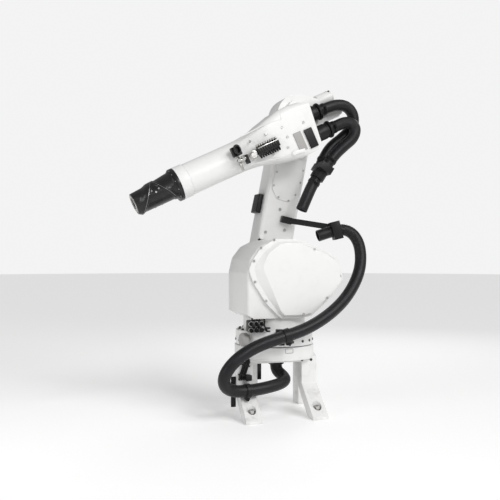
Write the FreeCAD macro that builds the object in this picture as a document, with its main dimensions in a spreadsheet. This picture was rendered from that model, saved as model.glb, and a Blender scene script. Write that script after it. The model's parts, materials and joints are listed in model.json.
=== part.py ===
"""Floor-mounted six-axis painting robot with a hollow wrist and black process hoses.

Millimetres. X points forward along the arm, Y to the robot's left, Z up.
The origin is where the first axis meets the floor.
"""
import FreeCAD, Part
import math
import os
import re
import Sketcher

V = FreeCAD.Vector

SIZES = {
    # base
    "drum_radius": 262,
    "drum_bottom": 367,
    "drum_top": 449,
    "leg_width": 106,
    "near_leg_inner": 20,
    "near_leg_outer": 150,
    "toe_reach": 355,
    "knee_height": 200,
    "front_leg": 192,
    "back_leg": -245,
    "far_leg_inner": -140,
    "far_leg_outer": -250,
    "far_front_leg": 70,
    "far_back_leg": -332,
    "bolt_radius": 11,
    "recess_floor": 40,
    "web_thickness": 26,
    # turret
    "turntable_radius": 255,
    "turntable_top": 548,
    "axis_gap": 6,
    "neck_radius": 205,
    "shoulder_bottom": 632,
    "shoulder_top": 1140,
    "shoulder_front": 250,
    "shoulder_back": -395,
    "shoulder_left": 214,
    "shoulder_right": -226,
    "cover_rim": 20,
    "cover_face": 48,
    "cover_gap": 0.5,
    # lower arm
    "shoulder_x": -28,
    "shoulder_z": 922,
    "arm_length": 1120,
    "arm_lean": 12.3,
    "arm_near": -240,
    "arm_far": -452,
    "arm_half_width": 132,
    "arm_head_radius": 158,
    "arm_foot_radius": 205,
    "hub_radius": 118,
    # forearm
    "fore_pitch": 25.1,
    "tube_drop": 84,
    "tube_radius": 104,
    "tube_start": 590,
    "tube_end": 1055,
    "box_half": 150,
    "box_back": 62,
    # wrist
    "wrist_flange_radius": 109,
    "seam_radius": 104,
    "seam_tilt": 35,
    "rear_seam": 1153,
    "front_seam": 1283,
    "wrist_face": 1366,
    "nose_radius": 74,
    "seam_gap": 0.6,
    "seam_band_width": 4,
    "ring_radius": 58,
    "ring_thickness": 10,
    "wrist_bore": 36,
    "tool_circle": 47,
    "tool_hole": 3.3,
    # hoses
    "hose_diameter": 78,
    "seat_gap": 0.3,
}

doc = FreeCAD.newDocument("PaintRobot")
sheet = doc.addObject("Spreadsheet::Sheet", "Sizes")
for row, (alias, value) in enumerate(SIZES.items(), start=1):
    sheet.set(f"A{row}", str(value))
    sheet.setAlias(f"A{row}", alias)
doc.recompute()

PARTS = []
PLANES = {"x": "YZ_Plane", "y": "XZ_Plane", "z": "XY_Plane"}
WORD = re.compile(r"[a-z_]+[a-z]")


def cells(text):
    """An expression in which each alias names its cell of the sheet."""
    return WORD.sub(lambda m: "Sizes." + m[0] if m[0] in SIZES else m[0], str(text))


def bind(thing, prop, text):
    thing.setExpression(prop, cells(text))


# Each frame: x, y, z of its origin and its turn about Y, as expressions.
LEAN = "arm_lean * 1 deg"
ELBOW_X = f"(shoulder_x - arm_length * sin({LEAN}))"
ELBOW_Z = f"(shoulder_z + arm_length * cos({LEAN}))"
ROW = ("0", "0", "0", "0")
ARM = ("shoulder_x", "0", "shoulder_z", "-arm_lean")
FORE = (ELBOW_X, "0", ELBOW_Z, "fore_pitch")


def put(thing, frame):
    """Places a sub-part in its frame, with the place bound to the sheet."""
    thing.Placement = FreeCAD.Placement(V(1, 1, 1), FreeCAD.Rotation(V(0, 1, 0), 10))
    for axis, text in zip("xyz", frame):
        bind(thing, f".Placement.Base.{axis}", text)
    bind(thing, ".Placement.Rotation.Angle", f"({frame[3]}) * 1 deg")


def new_body(name, frame=ROW):
    body = doc.addObject("PartDesign::Body", name)
    body.Label = name
    put(body, frame)
    PARTS.append(body)
    return body


def new_sketch(body, normal, at="0", tilt=None):
    """A sketch across one of the body's own axes, at a place along that axis."""
    sketch = body.newObject("Sketcher::SketchObject", body.Name + "_sketch")
    planes = body.Origin.OriginFeatures
    plane = [p for p in planes if p.Role == PLANES[normal]][0]
    sketch.AttachmentSupport = [(plane, "")]
    sketch.MapMode = "FlatFace"
    sign = "-" if normal == "y" else ""
    turn = FreeCAD.Rotation(V(1, 0, 0), 10 if tilt else 0)
    sketch.AttachmentOffset = FreeCAD.Placement(V(0, 0, 0), turn)
    bind(sketch, ".AttachmentOffset.Base.z", f"{sign}({at})")
    if tilt:
        bind(sketch, ".AttachmentOffset.Rotation.Angle", f"({tilt}) * 1 deg")
    return sketch


def pin_point(sketch, index, end, point):
    for kind, text in zip(("DistanceX", "DistanceY"), point):
        number = sketch.addConstraint(Sketcher.Constraint(kind, index, end, 10.0))
        bind(sketch, f"Constraints[{number}]", text)


def add_outline(sketch, points):
    """A closed outline through points given as pairs of expressions."""
    count = len(points)
    ring = [
        V(100 * math.cos(2 * math.pi * k / count), 100 * math.sin(2 * math.pi * k / count), 0)
        for k in range(count)
    ]
    first = sketch.GeometryCount
    for k in range(count):
        sketch.addGeometry(Part.LineSegment(ring[k], ring[(k + 1) % count]))
    for k in range(count):
        following = first + (k + 1) % count
        sketch.addConstraint(Sketcher.Constraint("Coincident", first + k, 2, following, 1))
    for k, point in enumerate(points):
        pin_point(sketch, first + k, 1, point)


def add_circle(sketch, centre, radius):
    number = sketch.addGeometry(Part.Circle(V(5, 5, 0), V(0, 0, 1), 20))
    pin_point(sketch, number, 3, centre)
    size = sketch.addConstraint(Sketcher.Constraint("Radius", number, 20.0))
    bind(sketch, f"Constraints[{size}]", radius)


def pad(body, normal, low, high, outline=None, circles=()):
    """Adds an extrusion between two places along one of the body's axes."""
    sketch = new_sketch(body, normal, high if normal == "y" else low)
    if outline:
        add_outline(sketch, outline)
    for centre, radius in circles:
        add_circle(sketch, centre, radius)
    feature = body.newObject("PartDesign::Pad", body.Name + "_pad")
    feature.Profile = sketch
    bind(feature, "Length", f"({high}) - ({low})")
    return feature


def pocket(body, normal, low, high, outline=None, circles=()):
    """Cuts an extrusion between two places along one of the body's axes."""
    doc.recompute()
    before = body.Shape.Volume
    sketch = new_sketch(body, normal, low if normal == "y" else high)
    if outline:
        add_outline(sketch, outline)
    for centre, radius in circles:
        add_circle(sketch, centre, radius)
    feature = body.newObject("PartDesign::Pocket", body.Name + "_pocket")
    feature.Profile = sketch
    bind(feature, "Length", f"({high}) - ({low})")
    doc.recompute()
    if body.Shape.Volume > before - 1:
        raise RuntimeError(f"the pocket in {body.Label} cuts nothing")
    return feature


def round_edges(body, radius, wanted, chamfer=False):
    """Rounds or bevels the edges of the body's last feature that wanted() picks."""
    doc.recompute()
    base = body.Tip
    names = [f"Edge{k}" for k, edge in enumerate(base.Shape.Edges, 1) if wanted(edge)]
    kind = "Chamfer" if chamfer else "Fillet"
    feature = body.newObject("PartDesign::" + kind, body.Name + "_edges")
    feature.Base = (base, names)
    bind(feature, "Size" if chamfer else "Radius", radius)
    return feature


def along(direction):
    """Picks straight edges that run along a direction."""

    def wanted(edge):
        if edge.Curve.TypeId != "Part::GeomLine":
            return False
        return abs(edge.Curve.Direction.dot(direction)) > 0.999

    return wanted


def box(name, frame, x, y, z, edge=None):
    """A plain block between pairs of places, with its edges bevelled if asked."""
    body = new_body(name, frame)
    corners = [(x[0], z[0]), (x[1], z[0]), (x[1], z[1]), (x[0], z[1])]
    pad(body, "y", y[0], y[1], corners)
    if edge:
        round_edges(body, edge, lambda e: True, chamfer=True)
    return body


def round_bar(name, frame, normal, centre, radius, low, high, edge=None):
    """A cylinder along one of the frame's axes."""
    body = new_body(name, frame)
    pad(body, normal, low, high, circles=[(centre, radius)])
    if edge:
        round_edges(body, edge, lambda e: e.Closed, chamfer=True)
    return body


# ---------------------------------------------------------------- base


def make_base_casting():
    """The drum, its web and four legs: two splayed on the left, two upright."""
    body = new_body("base_casting")
    pad(body, "z", "drum_bottom", "drum_top", circles=[(("0", "0"), "drum_radius")])
    near_leg = [
        ("near_leg_inner", "drum_bottom + 5"),
        ("near_leg_inner", "knee_height + 40"),
        ("toe_reach - 95", "0"),
        ("toe_reach", "0"),
        ("toe_reach", "16"),
        ("near_leg_outer", "knee_height"),
        ("near_leg_outer", "drum_bottom + 5"),
    ]
    for start in ("front_leg", "back_leg"):
        pad(body, "x", start, f"{start} + leg_width", near_leg)
    for start in ("far_front_leg", "far_back_leg"):
        foot = [
            (start, "far_leg_outer"),
            (f"{start} + leg_width", "far_leg_outer"),
            (f"{start} + leg_width", "far_leg_inner"),
            (start, "far_leg_inner"),
        ]
        pad(body, "z", "0", "drum_bottom + 5", foot)
    web = [
        ("far_back_leg", "far_leg_outer"),
        ("far_front_leg + leg_width", "far_leg_outer"),
        ("front_leg + leg_width", "near_leg_inner"),
        ("front_leg + leg_width", "near_leg_outer"),
        ("back_leg", "near_leg_outer"),
        ("far_back_leg", "far_leg_inner"),
    ]
    pad(body, "z", "drum_bottom - web_thickness", "drum_bottom + 5", web)
    bolts = [(levelling_place(start), "bolt_radius") for start in ("front_leg", "back_leg")]
    pocket(body, "z", "0", "160", circles=bolts)
    studs = [
        ((f"{start} + leg_width / 2", "(far_leg_inner + far_leg_outer) / 2"), "bolt_radius")
        for start in ("far_front_leg", "far_back_leg")
    ]
    pocket(body, "z", "0", "60", circles=studs)
    recesses = [(levelling_place(start), "29") for start in ("front_leg", "back_leg")]
    pocket(body, "z", "recess_floor", "knee_height + 5", circles=recesses)
    return body


def levelling_place(start):
    """Where the levelling bolt of a splayed leg stands."""
    return (f"{start} + leg_width / 2", "toe_reach - 70")


def make_base_fittings():
    for name, start in (("front_levelling_bolt", "front_leg"), ("rear_levelling_bolt", "back_leg")):
        body = new_body(name)
        centre = levelling_place(start)
        low = "recess_floor + seat_gap"
        pad(body, "z", low, "recess_floor + 14", circles=[(centre, "23")])
        pad(body, "z", "recess_floor + 10", "recess_floor + 34", circles=[(centre, "16")])
        pocket(body, "z", "recess_floor - 5", "recess_floor + 40", circles=[(centre, "bolt_radius")])
    box(
        "leg_hose_clamp",
        ROW,
        ("front_leg + 20", "front_leg + 62"),
        ("near_leg_outer + seat_gap", "near_leg_outer + 48"),
        ("knee_height + 40", "knee_height + 78"),
        "5",
    )
    box(
        "hanging_strap",
        ROW,
        ("front_leg + leg_width + 0.3", "front_leg + leg_width + 32"),
        ("near_leg_outer - 40", "near_leg_outer - 28"),
        ("66", "knee_height + 60"),
        "2",
    )
    box(
        "strip_bracket",
        ROW,
        ("105", "131"),
        ("40", "52"),
        ("drum_bottom - web_thickness - 120", "drum_bottom - web_thickness - seat_gap"),
        "2",
    )
    round_bar(
        "base_hose_gland",
        ROW,
        "z",
        ("-7", "20"),
        "52",
        "drum_bottom - web_thickness - 26",
        "drum_bottom - web_thickness - seat_gap",
        "4",
    )


# -------------------------------------------------------------- turret


def make_turntable():
    """The bolted ring that turns on the drum, and the neck above it."""
    body = new_body("turntable")
    low = "drum_top + axis_gap"
    pad(body, "z", low, "turntable_top", circles=[(("0", "0"), "turntable_radius")])
    bearing = [(("0", "0"), "turntable_radius - 40")]
    pad(body, "z", "drum_top + seam_gap", f"{low} + 5", circles=bearing)
    pad(body, "z", "turntable_top - 5", "shoulder_bottom + 10", circles=[(("0", "0"), "neck_radius")])
    rim = lambda e: e.Closed and abs(e.Curve.Radius - sheet.turntable_radius) < 1
    round_edges(body, "6", lambda e: rim(e) and e.BoundBox.ZMin > sheet.turntable_top - 3)
    return body


def shoulder_outline(inset):
    """The shoulder seen from the left, smaller by inset all round but at the front."""
    return [
        ("shoulder_front", "shoulder_bottom + 28"),
        ("shoulder_front", "shoulder_top - 215"),
        ("shoulder_front - 22", "shoulder_top - 125"),
        ("shoulder_front - 80", "shoulder_top - 50"),
        ("shoulder_front - 175", "shoulder_top - 4"),
        ("-75", f"shoulder_top - 4 - {inset}"),
        ("shoulder_back + 106", f"shoulder_top - 76 - {inset}"),
        (f"shoulder_back + 30 + {inset}", f"shoulder_top - 140 - {inset}"),
        (f"shoulder_back + {inset}", "shoulder_top - 250"),
        (f"shoulder_back + 70 + {inset}", "shoulder_bottom + 150"),
        (f"shoulder_back + 215 + {inset}", f"shoulder_bottom + 10 + {inset}"),
        ("-110", "shoulder_bottom + 2"),
        ("shoulder_front - 45", "shoulder_bottom + 2"),
    ]


def make_shoulder_housing():
    body = new_body("shoulder_housing")
    pad(body, "y", "shoulder_right", "shoulder_left", shoulder_outline("6"))
    front = lambda e: along(V(0, 1, 0))(e) and e.BoundBox.XMin > 60 and e.BoundBox.ZMin > 850
    round_edges(body, "70", front)
    sides = lambda e: e.BoundBox.YLength < 0.1 and e.BoundBox.YMin > 0 and e.BoundBox.XMin > 20
    round_edges(body, "22", lambda e: sides(e) and e.BoundBox.ZMin > 640)
    pocket(body, "z", "shoulder_bottom - 20", "shoulder_bottom + 12", circles=[(("0", "0"), "neck_radius + 1")])
    return body


def make_side_cover():
    """The screwed-on side cover: a flat rim and a raised facet with sloping flanks."""
    body = new_body("side_cover")
    rim = [
        ("shoulder_front - 83", "shoulder_top - 57"),
        ("shoulder_front - 25", "shoulder_top - 138"),
        ("shoulder_front - 5", "shoulder_top - 195"),
        ("shoulder_front - 32", "shoulder_top - 271"),
        ("shoulder_front - 117", "shoulder_top - 405"),
        ("shoulder_front - 180", "shoulder_bottom + 38"),
        ("shoulder_front - 220", "shoulder_bottom + 2"),
        ("-116", "shoulder_bottom + 4"),
        ("shoulder_back + 218", "shoulder_bottom + 14"),
        ("shoulder_back + 70", "shoulder_bottom + 146"),
        ("shoulder_back", "shoulder_top - 255"),
        ("shoulder_back + 30", "shoulder_top - 135"),
        ("shoulder_back + 106", "shoulder_top - 76"),
        ("-75", "shoulder_top - 2"),
        ("0", "shoulder_top"),
        ("shoulder_front - 177", "shoulder_top - 2"),
    ]
    low = "shoulder_left + cover_gap"
    pad(body, "y", low, f"{low} + cover_rim", rim)
    facet = [
        ("shoulder_front - 128", "shoulder_top - 92"),
        ("shoulder_front - 94", "shoulder_top - 160"),
        ("shoulder_front - 92", "shoulder_top - 190"),
        ("shoulder_front - 118", "shoulder_top - 250"),
        ("shoulder_front - 170", "shoulder_top - 370"),
        ("shoulder_front - 207", "shoulder_bottom + 52"),
        ("shoulder_front - 235", "shoulder_bottom + 24"),
        ("-116", "shoulder_bottom + 26"),
        ("shoulder_back + 226", "shoulder_bottom + 36"),
        ("shoulder_back + 92", "shoulder_bottom + 160"),
        ("shoulder_back + 26", "shoulder_top - 258"),
        ("shoulder_back + 54", "shoulder_top - 148"),
        ("shoulder_back + 122", "shoulder_top - 96"),
        ("-75", "shoulder_top - 26"),
        ("0", "shoulder_top - 24"),
        ("shoulder_front - 205", "shoulder_top - 34"),
    ]
    foot = new_sketch(body, "y", f"{low} + cover_rim")
    add_outline(foot, [(a, b) for a, b in shrink(rim)])
    head = new_sketch(body, "y", f"{low} + cover_face")
    add_outline(head, facet)
    raised = body.newObject("PartDesign::AdditiveLoft", "side_cover_raised")
    raised.Profile = foot
    raised.Sections = [head]
    raised.Ruled = True
    return body


def shrink(outline):
    """The foot of the cover's raised facet: the rim's outline drawn in by its flat width."""
    pull = [
        (-26, -22),
        (-30, -10),
        (-32, 0),
        (-30, 6),
        (-26, 10),
        (-20, 8),
        (-10, 14),
        (0, 14),
        (4, 14),
        (12, 10),
        (14, 0),
        (14, -8),
        (8, -12),
        (0, -14),
        (0, -14),
        (-12, -18),
    ]
    return [(f"{a} + ({p})", f"{b} + ({q})") for (a, b), (p, q) in zip(outline, pull)]


def make_turret_fittings():
    body = new_body("shoulder_bearing")
    pad(
        body,
        "y",
        "arm_near + seam_gap",
        "shoulder_right - seat_gap",
        circles=[(("shoulder_x", "shoulder_z"), "arm_foot_radius - 25")],
    )
    box(
        "drive_block",
        ROW,
        ("neck_radius - 53", "neck_radius + 33"),
        ("140", "212"),
        ("turntable_top + 0.3", "shoulder_bottom - 8"),
        "6",
    )
    round_bar(
        "drive_cap",
        ROW,
        "x",
        ("150", "turntable_top - 50"),
        "44",
        "turntable_radius - 28.6",
        "turntable_radius + 26",
        "12",
    )
    clamp = box(
        "turret_hose_clamp",
        ROW,
        ("30", "74"),
        ("turntable_radius - 20", "turntable_radius + 50"),
        ("drum_top + 22", "turntable_top + 22"),
        "4",
    )
    ring = [(("0", "0"), "turntable_radius + seat_gap")]
    pocket(clamp, "z", "drum_top", "turntable_top + 40", circles=ring)


# ----------------------------------------------------------- lower arm


def make_lower_arm():
    """The cast arm on the robot's right side, from the shoulder to the elbow."""
    body = new_body("lower_arm", ARM)
    web = [
        ("-arm_half_width - 22", "60"),
        ("arm_half_width - 26", "60"),
        ("arm_half_width", "arm_length - 20"),
        ("-arm_half_width + 6", "arm_length - 20"),
    ]
    pad(body, "y", "arm_far", "arm_near", web)
    round_edges(body, "24", along_arm)
    pad(body, "y", "arm_far", "arm_near", circles=[(("0", "0"), "arm_foot_radius")])
    pad(body, "y", "arm_far", "arm_near", circles=[(("0", "arm_length"), "arm_head_radius")])
    return body


def along_arm(edge):
    """Picks the long edges of the arm's web."""
    return edge.Length > 800


def front_face(height):
    """How far the arm's front face stands from its centre line at a height."""
    return f"(arm_half_width - 26 + 26 * ({height} - 60) / (arm_length - 80))"


def make_arm_fittings():
    outline = [
        ("-arm_half_width + 22", "arm_length - 300"),
        ("-arm_half_width + 22", "arm_length - 545"),
        ("-56", "arm_length - 612"),
        ("38", "arm_length - 608"),
        ("86", "arm_length - 545"),
        ("90", "arm_length - 480"),
        ("78", "arm_length - 300"),
    ]
    cover = new_body("arm_side_cover", ARM)
    pad(cover, "y", "arm_near + seat_gap", "arm_near + 9", outline)
    low_corner = sheet.arm_length - 520
    round_edges(cover, "30", lambda e: along(V(0, 1, 0))(e) and e.BoundBox.ZMin < low_corner)
    box(
        "arm_front_box",
        ARM,
        (f"{front_face('arm_length * 0.47')} + seat_gap", "arm_half_width + 20"),
        ("arm_far + 40", "arm_near - 50"),
        ("arm_length * 0.35", "arm_length * 0.47"),
        "4",
    )
    round_bar(
        "arm_stop_boss",
        ARM,
        "y",
        ("arm_half_width - 46", "arm_foot_radius + 25"),
        "22",
        "arm_near + seat_gap",
        "arm_near + 9",
        "3",
    )
    round_bar(
        "elbow_bearing",
        FORE,
        "y",
        ("0", "0"),
        "hub_radius",
        "arm_near + seat_gap",
        "arm_near + 18 - seam_gap",
    )


def in_frame(frame, point):
    """The row-frame place of a point given in one of the tilted frames."""
    holder = [part for part in PARTS if part.Label == frame][0]
    return holder.Placement.multVec(V(*point))


def arm_bracket():
    """The bar behind the lower arm, and the ring at its end that carries the main hose."""
    foot = Part.makeBox(76, 30, 46, V(-98, sheet.arm_near + sheet.seat_gap, 356))
    foot.Placement = [part for part in PARTS if part.Label == "lower_arm"][0].Placement
    before, after = V(*UPPER_HOSE[1]), V(*UPPER_HOSE[2])
    centre = (before + after) * 0.5
    place = FreeCAD.Placement(centre, FreeCAD.Rotation(after - before, V(), V(0, 0, 1), "XZY"))
    radius = sheet.hose_diameter / 2
    block = Part.makeBox(60, 2 * radius + 36, 2 * radius + 44, V(-30, -radius - 18, -radius - 22))
    hole = Part.makeCylinder(radius + 4, 80, V(-40, 0, 0), V(1, 0, 0))
    ring = block.cut(hole)
    ring.Placement = place
    start = in_frame("lower_arm", (-70, sheet.arm_near + 22, 379))
    finish = centre + V(0, -radius - 19, 22)
    run = finish - start
    bar = Part.makeBox(run.Length, 14, 40, V(0, -7, -20))
    bar.Placement = FreeCAD.Placement(start, FreeCAD.Rotation(run, V(), V(0, 0, 1), "XZY"))
    room = sheet.seat_gap
    socket = Part.makeBox(
        60 + 2 * room,
        block.BoundBox.YLength + 2 * room,
        block.BoundBox.ZLength + 2 * room,
        V(-30 - room, block.BoundBox.YMin - room, block.BoundBox.ZMin - room),
    )
    socket.Placement = place
    add_shape("hose_bracket", foot.fuse(bar).cut(socket))
    add_shape("bracket_ring", ring)


def add_shape(name, shape):
    """A sub-part whose shape is worked out from the sheet's values."""
    solid = max(shape.Solids, key=lambda piece: piece.Volume)
    thing = doc.addObject("Part::Feature", name)
    thing.Label = name
    thing.Shape = solid
    PARTS.append(thing)


# ------------------------------------------------------------- forearm


def make_elbow_housing():
    """The cast housing ahead of the elbow, drawn down to the forearm tube."""
    body = new_body("elbow_housing", FORE)
    side = [
        ("box_back", "44"),
        ("box_back + 68", "84"),
        ("box_back + 140", "90"),
        ("box_back + 225", "84"),
        ("box_back + 290", "66"),
        ("tube_start - 134", "46"),
        ("tube_start + 20", "tube_radius - tube_drop + 9"),
        ("tube_start + 110", "tube_radius - tube_drop + 1"),
        ("tube_start + 110", "-tube_radius - tube_drop - 1"),
        ("tube_start + 20", "-tube_radius - tube_drop - 4"),
        ("box_back + 365", "-216"),
        ("box_back + 182", "-260"),
        ("box_back + 60", "-256"),
        ("box_back + 26", "-214"),
    ]
    pad(body, "y", "-box_half", "box_half", side)
    round_edges(body, "46", upper_long_edges)
    knuckle = [
        ("-108", "-118"),
        ("box_back + 5", "-118"),
        ("box_back + 5", "80"),
        ("-60", "84"),
        ("-108", "52"),
    ]
    pad(body, "y", "arm_near + 18", "-62", knuckle)
    pad(body, "y", "arm_near + 18", "-box_half - 15", circles=[(("0", "0"), "hub_radius")])
    taper = [
        ("box_back + 250", "box_half + 20"),
        ("tube_start + 130", "box_half + 20"),
        ("tube_start + 130", "tube_radius - 3"),
        ("tube_start + 60", "tube_radius + 6"),
    ]
    mirror = [(a, f"-({b})") for a, b in taper]
    pocket(body, "z", "-400", "200", taper)
    pocket(body, "z", "-400", "200", mirror)
    return body


def upper_long_edges(edge):
    """Picks the housing's long edges on both sides, above and below."""
    if edge.Curve.TypeId != "Part::GeomLine" or edge.BoundBox.YLength > 0.1:
        return False
    return edge.BoundBox.XMin > 130 and edge.Length > 60 and edge.BoundBox.XLength > 30


def make_forearm():
    round_bar(
        "forearm_tube",
        FORE,
        "x",
        ("0", "-tube_drop"),
        "tube_radius",
        "tube_start + 110 + seat_gap",
        "tube_end - 70",
    )
    body = new_body("tube_collar", FORE)
    pad(body, "x", "tube_end - 70 + seat_gap", "tube_end", circles=[(("0", "-tube_drop"), "tube_radius + 5")])
    round_edges(body, "5", lambda e: e.Closed and e.BoundBox.XMax < sheet.tube_end - 55, chamfer=True)


def make_rear_fittings():
    glands = (
        ("upper_hose_gland", ("0", "-27"), "56"),
        ("lower_hose_gland", ("52", "-165"), "53"),
    )
    for name, centre, radius in glands:
        body = new_body(name, FORE)
        top = f"({centre[1]} + {radius})"
        pad(body, "x", "-6", f"box_back + 26 * (44 - {top}) / 258 - seat_gap", circles=[(centre, radius)])
        pad(body, "x", "-30", "-4", circles=[(centre, "hose_diameter / 2 + 9")])
        round_edges(body, "6", lambda e: e.Closed and e.BoundBox.XMax < -20, chamfer=True)
    motors = (
        ("wrist_motor_lower", "-112", "-66", "-226", "50"),
        ("wrist_motor_upper", "-112", "34", "-208", "46"),
    )
    for name, side, height, back, radius in motors:
        body = new_body(name, FORE)
        pad(body, "x", back, "-108 - seat_gap", circles=[((side, height), radius)])
        pad(body, "x", f"{back} - 22", f"{back} + 5", circles=[((side, height), f"{radius} - 8")])
        round_edges(body, "3", lambda e: e.Closed and e.BoundBox.XMax < -120, chamfer=True)


def make_side_fittings():
    face = "box_half + seat_gap"
    panels = (
        ("grey_panel", ("box_back + 135", "box_back + 191"), ("-222", "-94"), "6"),
        ("black_panel", ("box_back + 55", "box_back + 114"), ("-230", "-100"), "10"),
    )
    for name, x, z, thick in panels:
        box(name, FORE, x, (face, f"box_half + {thick}"), z, "1.5")
    body = new_body("valve_manifold", FORE)
    strip = [("372", "-126"), ("530", "-126"), ("530", "-86"), ("372", "-86")]
    pad(body, "y", face, "box_half + 34", strip)
    for k in range(9):
        start = f"{377 + 17 * k}"
        tooth = [
            (start, "-142"),
            (f"{start} + 9", "-142"),
            (f"{start} + 9", "-70"),
            (start, "-70"),
        ]
        pad(body, "y", face, "box_half + 24", tooth)
    round_bar("valve_ball", FORE, "y", ("563", "-114"), "28", "box_half - 20.9", "box_half + 24", "9")
    box("valve_clamp", FORE, ("594", "616"), ("box_half - 30.4", "box_half + 12"), ("-150", "-90"), "4")
    box("hose_tie_block", FORE, ("618", "680"), ("box_half - 34.9", "box_half + 4"), ("-78", "-14"), "5")


# --------------------------------------------------------------- wrist


def seam_band(body, place, tilt, radius, backwards=False):
    """A short round rim on a seam, which turns about the seam's own axis."""
    sketch = new_sketch(body, "x", place, tilt)
    add_circle(sketch, ("0", "0"), radius)
    feature = body.newObject("PartDesign::Pad", body.Name + "_band")
    feature.Profile = sketch
    feature.Reversed = backwards
    bind(feature, "Length", "seam_band_width")


def loft_between(body, sections):
    """Joins circles across the wrist's axis: (place along it, tilt, radius)."""
    made = []
    for place, tilt, radius in sections:
        sketch = new_sketch(body, "x", place, tilt)
        add_circle(sketch, ("0", "0"), radius)
        made.append(sketch)
    feature = body.newObject("PartDesign::AdditiveLoft", body.Name + "_loft")
    feature.Profile = made[0]
    feature.Sections = made[1:]
    feature.Ruled = True
    return feature


WRIST = (
    f"({ELBOW_X} - tube_drop * sin(fore_pitch * 1 deg))",
    "0",
    f"({ELBOW_Z} - tube_drop * cos(fore_pitch * 1 deg))",
    "fore_pitch",
)


def make_wrist():
    """Three wrist sections that meet at two oblique seams, and the tool ring."""
    rear = new_body("wrist_rear", WRIST)
    pad(rear, "x", "tube_end + seam_gap", "tube_end + 26", circles=[(("0", "0"), "wrist_flange_radius")])
    loft_between(
        rear,
        [
            ("tube_end + 20", None, "wrist_flange_radius - 6"),
            ("rear_seam - seam_gap", "seam_tilt", "seam_radius"),
        ],
    )
    middle = new_body("wrist_middle", WRIST)
    loft_between(
        middle,
        [
            ("rear_seam + seam_gap", "seam_tilt", "seam_radius - 1"),
            ("front_seam - seam_gap", "-seam_tilt", "seam_radius - 1"),
        ],
    )
    seam_band(middle, "rear_seam + seam_gap", "seam_tilt", "seam_radius - 1")
    seam_band(middle, "front_seam - seam_gap", "-seam_tilt", "seam_radius - 1", backwards=True)
    nose = new_body("wrist_nose", WRIST)
    loft_between(
        nose,
        [
            ("front_seam + seam_gap", "-seam_tilt", "seam_radius"),
            ("wrist_face - 2", None, "nose_radius"),
        ],
    )
    pocket(nose, "x", "wrist_face - ring_thickness - 4", "wrist_face + 5", circles=[(("0", "0"), "ring_radius + 0.5")])
    pocket(nose, "x", "wrist_face - 60", "wrist_face", circles=[(("0", "0"), "wrist_bore + 4")])
    ring = new_body("tool_ring", WRIST)
    low = "wrist_face - ring_thickness - 4 + seat_gap"
    pad(ring, "x", low, "wrist_face", circles=[(("0", "0"), "ring_radius"), (("0", "0"), "wrist_bore")])
    holes = [
        ((f"tool_circle * cos({60 * k} deg)", f"tool_circle * sin({60 * k} deg)"), "tool_hole")
        for k in range(6)
    ]
    pocket(ring, "x", low, "wrist_face", circles=holes)


# --------------------------------------------------------------- hoses

UPPER_HOSE = [
    (-315, 0, 1165),
    (-399, 10, 1193),
    (-479, 30, 1214),
    (-544, 50, 1190),
    (-582, 78, 1120),
    (-584, 108, 1029),
    (-556, 148, 936),
    (-494, 196, 842),
    (-402, 250, 748),
    (-285, 302, 668),
    (-162, 336, 604),
    (-48, 352, 559),
    (54, 352, 532),
]
LOWER_HOSE = [
    (54.3, 352, 531.9),
    (156, 352, 505),
    (256, 350, 467),
    (346, 350, 415),
    (410, 344, 350),
    (436, 324, 284),
    (416, 296, 226),
    (352, 262, 193),
    (270, 242, 187),
    (180, 227, 191),
    (88, 202, 200),
    (10, 164, 208),
    (-42, 112, 222),
    (-42, 52, 242),
    (-7, 20, 274),
    (-7, 20, 314.6),
]
HOSE_ONE = [
    (-305.8, 0, 2004.6),
    (-373, 0, 2036),
    (-456, -6, 2066),
    (-540, -18, 2062),
    (-594, -30, 2004),
    (-592, -37, 1922),
    (-540, -40, 1844),
    (-478, -40, 1800),
    (-414, -40, 1721),
    (-362, -40, 1642),
]
HOSE_TWO = [
    (-364.1, 52, 1879.8),
    (-428, 52, 1909.7),
    (-500, 52, 1925),
    (-550, 50, 1885),
    (-540, 46, 1818),
    (-472, 42, 1778),
    (-411.5, 40, 1717.1),
    (-362, 40, 1642),
]
COUPLING = ("-362", "0", "1642", "56.6")
DROP_HOSE = [
    (-303.6, 0, 1553.5),
    (-269.5, 0, 1501.8),
    (-232, 3, 1424),
    (-194, 5, 1340),
]


def make_hose_coupling():
    """The black block where the two elbow hoses join into one."""
    body = new_body("hose_coupling", COUPLING)
    width = "hose_diameter + 7"
    block = [(f"-({width})", "-46"), (width, "-46"), (width, "46"), (f"-({width})", "46")]
    pad(body, "x", "seat_gap", "52", block)
    pad(body, "x", "40", "105.5", circles=[(("0", "0"), "hose_diameter / 2 + 10")])


def hose_path(points):
    """Straight runs joined by arcs as large as the runs allow."""
    points = [V(*p) for p in points]
    edges = []
    radii = []
    start = points[0]
    for before, corner, after in zip(points, points[1:], points[2:]):
        into = (corner - before).normalize()
        away = (after - corner).normalize()
        turn = into.getAngle(away)
        reach = 0.45 * min((corner - before).Length, (after - corner).Length)
        radius = reach / math.tan(turn / 2)
        radii.append(radius)
        first = corner - into * reach
        last = corner + away * reach
        inward = (away - into).normalize()
        depth = radius / math.cos(turn / 2) - radius
        edges.append(Part.LineSegment(start, first).toShape())
        edges.append(Part.Arc(first, corner + inward * depth, last).toShape())
        start = last
    edges.append(Part.LineSegment(start, points[-1]).toShape())
    return Part.Wire(edges), radii


def make_hose(name, points):
    path, radii = hose_path(points)
    radius = sheet.hose_diameter / 2
    direction = path.Edges[0].tangentAt(path.Edges[0].FirstParameter)
    section = Part.Wire([Part.makeCircle(radius, V(*points[0]), direction)])
    solid = path.makePipeShell([section], True, False)
    share = solid.Volume / (math.pi * radius**2 * path.Length)
    print(name, "length", round(path.Length), "volume share", round(share, 4))
    print("   radii", [round(r) for r in radii])
    add_shape(name, solid)


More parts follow.
